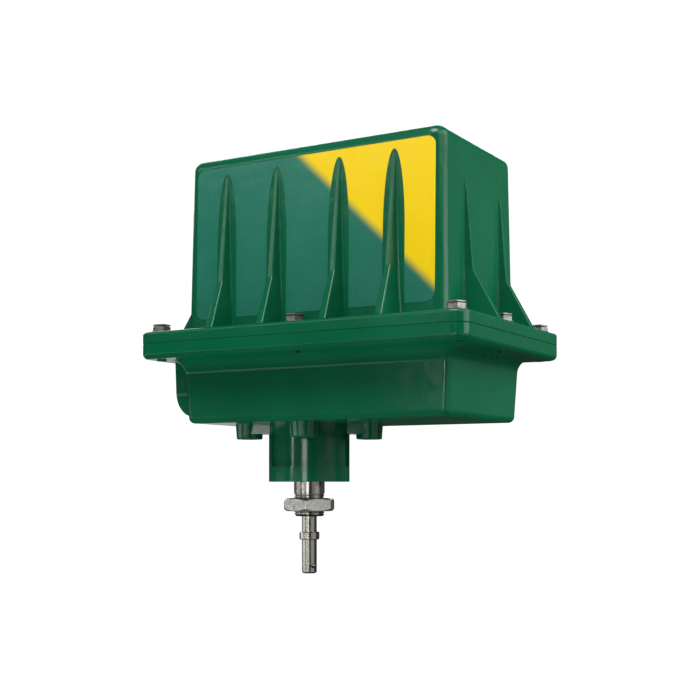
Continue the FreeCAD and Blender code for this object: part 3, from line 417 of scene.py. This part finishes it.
# geometry nodes: a row of hexagon screws on points
screwInputs = {
    "Across flats": 0.013,
    "Head height": 0.0053,
    "Crown": 0.0009,        # half the height of the chamfer round the head
    "Collar radius": 0.0058,
    "Washer radius": 0.008,
    "Washer thickness": 0.0016,
    "Shank radius": 0.004,
    "Shank length": 0.0231,
    "Dome": 0.0004,
}

# fixed proportions and facets of the screws
screwShape = {
    "chamferFoot": 1.25,    # reach beyond the corners, in shares of the corners' stand-out
    "chamferTop": 0.2,      # reach inside the flats, in shares of the foot's reach
    "barrelRoom": 1.05,     # barrel's radius, in shares of the corners'
    "overlap": 0.00002,     # of barrel and frustum
    "domeFoot": 0.36,       # shares of the width across flats
    "domeTop": 0.30,
    "domeSunk": 0.00001,
    "collarHeight": 0.0006,
    "headSides": 48,
    "domeSides": 32,
    "collarSides": 32,
    "washerSides": 40,
    "shankSides": 24,
}


def screwTree(sizes, shape, finish):
    group = bpy.data.node_groups.new("hexScrews", "GeometryNodeTree")
    group.interface.new_socket("Geometry", in_out="INPUT", socket_type="NodeSocketGeometry")
    for name, size in sizes.items():
        socket = group.interface.new_socket(name, in_out="INPUT", socket_type="NodeSocketFloat")
        socket.default_value = size
    group.interface.new_socket("Geometry", in_out="OUTPUT", socket_type="NodeSocketGeometry")
    tree = Tree(group)
    entry = tree.nodes.new("NodeGroupInput")
    given = {socket.name: Wire(tree, socket) for socket in entry.outputs if socket.name}

    def moved(solid, height):
        place = tree.add("ShaderNodeCombineXYZ", {}, {"Z": height})
        values = {"Geometry": solid, "Translation": place}
        return tree.add("GeometryNodeTransform", {}, values)

    def rod(radius, height, sides):
        values = {"Vertices": sides, "Radius": radius, "Depth": height}
        return tree.add("GeometryNodeMeshCylinder", {}, values)

    def frustum(low, high, height, sides):
        values = {"Vertices": sides, "Radius Bottom": low, "Radius Top": high, "Depth": height}
        return tree.add("GeometryNodeMeshCone", {}, values)

    flats = given["Across flats"]
    head = given["Head height"]
    crown = given["Crown"]
    washer = given["Washer thickness"]
    corner = flats / math.sqrt(3)
    hexagon = moved(rod(corner, head, 6), washer + head * 0.5)
    # the turned envelope that rounds off the hexagon's corners, made of a barrel and a frustum
    steep = (corner - flats * 0.5) * shape["chamferFoot"]
    chamfer = frustum(corner + steep, flats * 0.5 - steep * shape["chamferTop"],
                      crown * 2.0, shape["headSides"])
    barrelHeight = head - crown * 2.0
    barrel = rod(corner * shape["barrelRoom"], barrelHeight + shape["overlap"], shape["headSides"])
    envelope = [moved(chamfer, washer + head - crown), moved(barrel, washer + barrelHeight * 0.5)]
    whole = tree.add("GeometryNodeJoinGeometry", {}, {"Geometry": envelope})
    cutHead = tree.add("GeometryNodeMeshBoolean", {"operation": "INTERSECT"},
                       {"Mesh 2": [hexagon, whole]})
    domeHeight = given["Dome"]
    dome = frustum(flats * shape["domeFoot"], flats * shape["domeTop"], domeHeight,
                   shape["domeSides"])
    dome = moved(dome, washer + head + domeHeight * 0.5 - shape["domeSunk"])
    collar = rod(given["Collar radius"], shape["collarHeight"], shape["collarSides"])
    collar = moved(collar, washer + shape["collarHeight"] / 2)
    disc = moved(rod(given["Washer radius"], washer, shape["washerSides"]), washer * 0.5)
    length = given["Shank length"]
    shank = rod(given["Shank radius"], length, shape["shankSides"])
    shank = moved(shank, washer - length * 0.5)
    parts = [cutHead, dome, collar, disc, shank]
    screw = tree.add("GeometryNodeJoinGeometry", {}, {"Geometry": parts})
    turn = tree.add("GeometryNodeInputNamedAttribute", {"data_type": "FLOAT"}, {"Name": "turn"})
    turned = tree.add("ShaderNodeCombineXYZ", {}, {"Z": turn})
    row = tree.add("GeometryNodeInstanceOnPoints", {},
                   {"Points": given["Geometry"], "Instance": screw, "Rotation": turned})
    solid = tree.add("GeometryNodeRealizeInstances", {}, {"Geometry": row})
    dressed = tree.add("GeometryNodeSetMaterial", {}, {"Geometry": solid, "Material": finish})
    exitNode = tree.nodes.new("NodeGroupOutput")
    tree.feed(exitNode.inputs["Geometry"], dressed)
    return group


def growOnPoints(name, places, turns, group, sizes):
    # points, then the tree on them, then a plain mesh
    mesh = bpy.data.meshes.new(name)
    mesh.from_pydata(places, [], [])
    turnValues = [math.radians(turn) for turn in turns]
    mesh.attributes.new("turn", "FLOAT", "POINT").data.foreach_set("value", turnValues)
    piece = bpy.data.objects.new(name, mesh)
    scene.collection.objects.link(piece)
    modifier = piece.modifiers.new(name, "NODES")
    modifier.node_group = group
    for item in group.interface.items_tree:
        if item.item_type == "SOCKET" and item.in_out == "INPUT" and item.name in sizes:
            modifier[item.identifier] = sizes[item.name]
    shown = piece.evaluated_get(bpy.context.evaluated_depsgraph_get())
    grown = bpy.data.meshes.new_from_object(shown)
    piece.modifiers.clear()
    piece.data = grown
    return piece


# flange screws with their washers
flangeScrews = {
    "edgeX": 0.0136,        # in from the flange's edges
    "edgeY": 0.0153,
    "midEdge": 0.0115,      # middle screws of the short sides
    "midShift": -0.0035,    # middle screws of the long sides
    "turns": (21, 64, 2, 7, 3, 51, 12, 55),   # of the hexagons, in the order of the places
}


def makeFlangeScrews(setup, finish):
    low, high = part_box("top_cover")
    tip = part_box("cover_bolts")[0][2]
    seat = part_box("cover_washers")[0][2]
    middle = (low[0] + high[0]) / 2
    places = []
    for x in (low[0] + setup["edgeX"], high[0] - setup["edgeX"], middle + setup["midShift"]):
        places += [(x, low[1] + setup["edgeY"], seat), (x, high[1] - setup["edgeY"], seat)]
    places += [(low[0] + setup["midEdge"], 0.0, seat), (high[0] - setup["midEdge"], 0.0, seat)]
    sizes = dict(screwInputs)
    sizes["Shank length"] = seat - tip + sizes["Washer thickness"]
    tree = screwTree(sizes, screwShape, finish)
    screws = growOnPoints("flangeScrews", places, setup["turns"], tree, sizes)
    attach(screws, "housing")
    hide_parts("cover_bolts", "cover_washers")
    print("stage: flange screws,", len(screws.data.polygons), "faces")


def closedShell(name, rings, sharpAngle):
    # rings of points, each joined to the next and the last to the first
    shell = bmesh.new()
    rows = [[shell.verts.new(point) for point in ring] for ring in rings]
    for near, far in zip(rows, rows[1:] + rows[:1]):
        for start in range(len(near)):
            after = (start + 1) % len(near)
            shell.faces.new((near[start], near[after], far[after], far[start]))
    bmesh.ops.recalc_face_normals(shell, faces=shell.faces)
    for face in shell.faces:
        face.smooth = True
    mesh = bpy.data.meshes.new(name)
    shell.to_mesh(mesh)
    shell.free()
    mesh.set_sharp_from_angle(angle=math.radians(sharpAngle))
    piece = bpy.data.objects.new(name, mesh)
    scene.collection.objects.link(piece)
    return piece


def levels(start, stop, step):
    count = max(1, round(abs(stop - start) / step))
    return [start + (stop - start) * index / count for index in range(count + 1)]


# bush with a real thread; its heights are measured from the hub's seat
bushLook = {
    "register": 0.013,      # radii
    "thread": 0.0127,
    "spigot": 0.015,
    "collar": 0.020,
    "bore": 0.0085,
    "wiperBore": 0.0095,
    "registerLength": 0.0099,
    "reliefLength": 0.0008,
    "reliefDepth": 0.0004,
    "reliefSlope": 0.0001,  # height of the relief's two flanks
    "pitch": 0.002,
    "depth": 0.0011,
    "crest": 0.42,          # share of the tooth that stays at full radius
    "flank": 2.4,           # fall of the depth beyond the crest
    "runIn": 2,             # full depths gained in one pitch, at the lower end
    "runOut": 4,            # and lost in one pitch, at the upper end
    "rowsPerPitch": 12,
    "chamfer": 0.0012,
    "threadStart": 0.3,     # share of the chamfer where the thread begins
    "floor": 0.008,         # top of the hub's floor
    "wiperHeight": 0.005,
    "wiperChamfer": 0.0002,
    "registerChamfer": 0.0003,
    "collarChamfer": 0.0005,
    "columns": 96,
    "sharpAngle": 32,
}


def threadCut(look, height, share, threadLow, threadHigh):
    # depth of the thread below its crest, at a height and a share of the turn
    pitch = look["pitch"]
    phase = (height / pitch - share) % 1.0
    tooth = min(phase, 1.0 - phase) * 2.0
    fade = min(1.0, (height - threadLow) / pitch * look["runIn"],
               (threadHigh - height) / pitch * look["runOut"])
    return look["depth"] * min(1.0, max(0.0, (tooth - look["crest"]) * look["flank"])) * fade


def makeBush(look, finish):
    low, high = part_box("threaded_bush")
    bottom, top = low[2], high[2]
    start = -look["registerLength"] - look["reliefLength"]
    relief = look["thread"] - look["reliefDepth"]
    wiperTop = bottom + look["wiperHeight"]
    profile = [(look["wiperBore"], bottom + look["wiperChamfer"]),
               (look["wiperBore"] + look["wiperChamfer"], bottom),
               (look["thread"] - look["chamfer"], bottom)]
    threadRows = levels(bottom + look["chamfer"], start, look["pitch"] / look["rowsPerPitch"])
    profile += [(look["thread"], height) for height in threadRows]
    profile += [(relief, start + look["reliefSlope"]),
                (relief, -look["registerLength"] - look["reliefSlope"]),
                (look["register"] - look["registerChamfer"], -look["registerLength"]),
                (look["register"], look["registerChamfer"] - look["registerLength"]),
                (look["register"], 0.0),
                (look["spigot"], 0.0),
                (look["spigot"], look["floor"]),
                (look["collar"], look["floor"]),
                (look["collar"], top - look["collarChamfer"]),
                (look["collar"] - look["collarChamfer"], top),
                (look["bore"], top),
                (look["bore"], wiperTop),
                (look["wiperBore"], wiperTop)]
    threadLow = bottom + look["chamfer"] * look["threadStart"]
    rings = []
    for radius, height in profile:
        ring = []
        for column in range(look["columns"]):
            share = column / look["columns"]
            angle = 2 * math.pi * share
            reach = radius
            if threadLow < height < start:
                reach = radius - threadCut(look, height, share, threadLow, start)
            ring.append((reach * math.cos(angle), reach * math.sin(angle), height))
        rings.append(ring)
    bush = closedShell("threadedBush", rings, look["sharpAngle"])
    bush.data.materials.append(finish)
    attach(bush, "housing")
    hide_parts("threaded_bush")
    print("stage: bush,", len(bush.data.polygons), "faces")


# lock nut: hexagon with both faces turned down to a circle
nutLook = {
    "flats": 0.040,
    "turn": 54,             # degrees, of a corner
    "faceRadius": 0.0190,
    "slope": 30,            # of the turned chamfer
    "bore": 0.0129,
    "boreChamfer": 0.0008,
    "softCorner": 0.986,    # share of the corner radius that is left
    "columns": 180,
    "sharpAngle": 20,
}


def makeLockNut(look, finish):
    low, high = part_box("lock_nut")
    bottom, top = low[2], high[2]
    half = look["flats"] / 2
    limit = half / math.cos(math.pi / 6) * look["softCorner"]
    sunk = look["bore"] + look["boreChamfer"]
    rings = []
    for column in range(look["columns"]):
        angle = 2 * math.pi * column / look["columns"]
        across = (angle - math.radians(look["turn"])) % (math.pi / 3) - math.pi / 6
        reach = min(half / math.cos(across), limit)
        drop = (reach - look["faceRadius"]) * math.tan(math.radians(look["slope"]))
        profile = [(look["bore"], bottom + look["boreChamfer"]),
                   (sunk, bottom),
                   (look["faceRadius"], bottom),
                   (reach, bottom + drop),
                   (reach, top - drop),
                   (look["faceRadius"], top),
                   (sunk, top),
                   (look["bore"], top - look["boreChamfer"])]
        rings.append([(radius * math.cos(angle), radius * math.sin(angle), height)
                      for radius, height in profile])
    piece = closedShell("lockNut", rings, look["sharpAngle"])
    piece.data.materials.append(finish)
    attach(piece, "clamp_nut")
    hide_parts("lock_nut")
    print("stage: lock nut,", len(piece.data.polygons), "faces")


makeCamera(cameraSetup)
finishes = makeFinishes()
dressNodes(finishes)
makeFlangeScrews(flangeScrews, finishes["zinc"])
makeBush(bushLook, finishes["stainless"])
makeLockNut(nutLook, finishes["nutSteel"])


# stage: a pale floor and a pale round backdrop that light nothing
stageSetup = {
    "floorDrop": 0.42,      # below the hub's seat
    "radius": 9.0,
    "tone": (0.9, 0.9, 0.9),
    "rough": 0.9,
    "glow": (1.0, 1.0, 1.0),
    "white": 1.0,
    "floorSides": 64,
    "backdropColumns": 48,
    "backdropRows": 24,
}


def stagePiece(name, shape, finish):
    mesh = bpy.data.meshes.new(name)
    shape.to_mesh(mesh)
    shape.free()
    piece = bpy.data.objects.new(name, mesh)
    scene.collection.objects.link(piece)
    mesh.materials.append(finish)
    piece.visible_diffuse = False
    piece.visible_glossy = False
    piece.visible_transmission = False
    piece.visible_shadow = False


def makeStage(setup):
    finish = Finish("paleStage").done(Base_Color=setup["tone"], Roughness=setup["rough"],
                                      Emission_Color=setup["glow"],
                                      Emission_Strength=setup["white"])
    disc = bmesh.new()
    bmesh.ops.create_circle(disc, cap_ends=True, segments=setup["floorSides"],
                            radius=setup["radius"])
    bmesh.ops.translate(disc, verts=disc.verts, vec=(0.0, 0.0, -setup["floorDrop"]))
    stagePiece("paleFloor", disc, finish)
    dome = bmesh.new()
    bmesh.ops.create_uvsphere(dome, u_segments=setup["backdropColumns"],
                              v_segments=setup["backdropRows"], radius=setup["radius"])
    bmesh.ops.reverse_faces(dome, faces=dome.faces)
    stagePiece("paleBackdrop", dome, finish)


# light panels: turn from the front to the right, height of the middle, distance from the stem,
# size and brightness; an unseen panel is in no reflection
lightPlan = {
    "bigRight": {"turn": 88, "height": 1.65, "away": 2.1,
                 "wide": 3.6, "tall": 1.3, "bright": 2.3},
    "sideFill": {"turn": 130, "height": 0.8, "away": 2.1,
                 "wide": 2.0, "tall": 1.5, "bright": 4.7, "unseen": True},
    "topFront": {"turn": 7, "height": 2.1, "away": 1.3,
                 "wide": 1.6, "tall": 1.3, "bright": 8.1},
    "leftHigh": {"turn": -36, "height": 1.20, "away": 2.3,
                 "wide": 1.4, "tall": 0.5, "bright": 1.8},
    "rightPanel": {"turn": 97, "height": 0.51, "away": 2.2,
                   "wide": 1.7, "tall": 0.62, "bright": 2.3},
    "hubStrip": {"turn": 19, "height": 0.05, "away": 2.4,
                 "wide": 0.5, "tall": 0.26, "bright": 6.5},
    "leftStrip": {"turn": -19.2, "height": 0.33, "away": 6.0,
                  "wide": 0.57, "tall": 0.40, "bright": 10.0},
    "leftLow": {"turn": -60, "height": -0.16, "away": 2.4,
                "wide": 1.66, "tall": 0.22, "bright": 2.0},
    "leftMid": {"turn": -35, "height": -0.30, "away": 2.4,
                "wide": 1.1, "tall": 0.18, "bright": 1.1},
    "stemBand": {"turn": -5, "height": -0.125, "away": 2.4,
                 "wide": 1.35, "tall": 0.13, "bright": 2.2},
    "tableFront": {"turn": 3, "height": -0.54, "away": 1.7,
                   "wide": 1.35, "tall": 0.86, "bright": 0.30},
    "tableRight": {"turn": 80, "height": -0.27, "away": 1.7,
                   "wide": 1.9, "tall": 0.60, "bright": 0.4},
    "backRight": {"turn": 150, "height": 0.5, "away": 2.4,
                  "wide": 1.6, "tall": 1.4, "bright": 0.08},
    "backLow": {"turn": -125, "height": -0.22, "away": 2.4,
                "wide": 2.4, "tall": 0.36, "bright": 0.6},
    "backSoft": {"turn": 222, "height": 1.5, "away": 2.2,
                 "wide": 3.0, "tall": 1.6, "bright": 2.2},
    "underFill": {"turn": -35, "height": -1.3, "away": 0.55,
                  "wide": 2.0, "tall": 2.0, "bright": 1.75, "unseen": True},
}

roomSetup = {
    "aim": (0.04, 0.0, 0.06),   # the point that all panels face
    "tone": (1.0, 1.0, 1.0, 1.0),
    "glow": 0.02,
}


def makeLights(plan, room):
    aim = Vector(room["aim"])
    for name, lamp in plan.items():
        data = bpy.data.lights.new(name, "AREA")
        data.shape = "RECTANGLE"
        data.size = lamp["wide"]
        data.size_y = lamp["tall"]
        data.energy = lamp["bright"] * math.pi * lamp["wide"] * lamp["tall"]
        turn = math.radians(lamp["turn"])
        piece = bpy.data.objects.new(name, data)
        piece.location = (math.sin(turn) * lamp["away"], -math.cos(turn) * lamp["away"],
                          lamp["height"])
        piece.rotation_euler = (aim - piece.location).to_track_quat("-Z", "Y").to_euler()
        piece.visible_glossy = "unseen" not in lamp
        scene.collection.objects.link(piece)
    world = bpy.data.worlds.new("dimRoom")
    world.use_nodes = True
    background = world.node_tree.nodes["Background"]
    background.inputs["Color"].default_value = room["tone"]
    background.inputs["Strength"].default_value = room["glow"]
    scene.world = world
    scene.view_settings.view_transform = "Standard"


makeStage(stageSetup)
makeLights(lightPlan, roomSetup)

print("stage: finished")
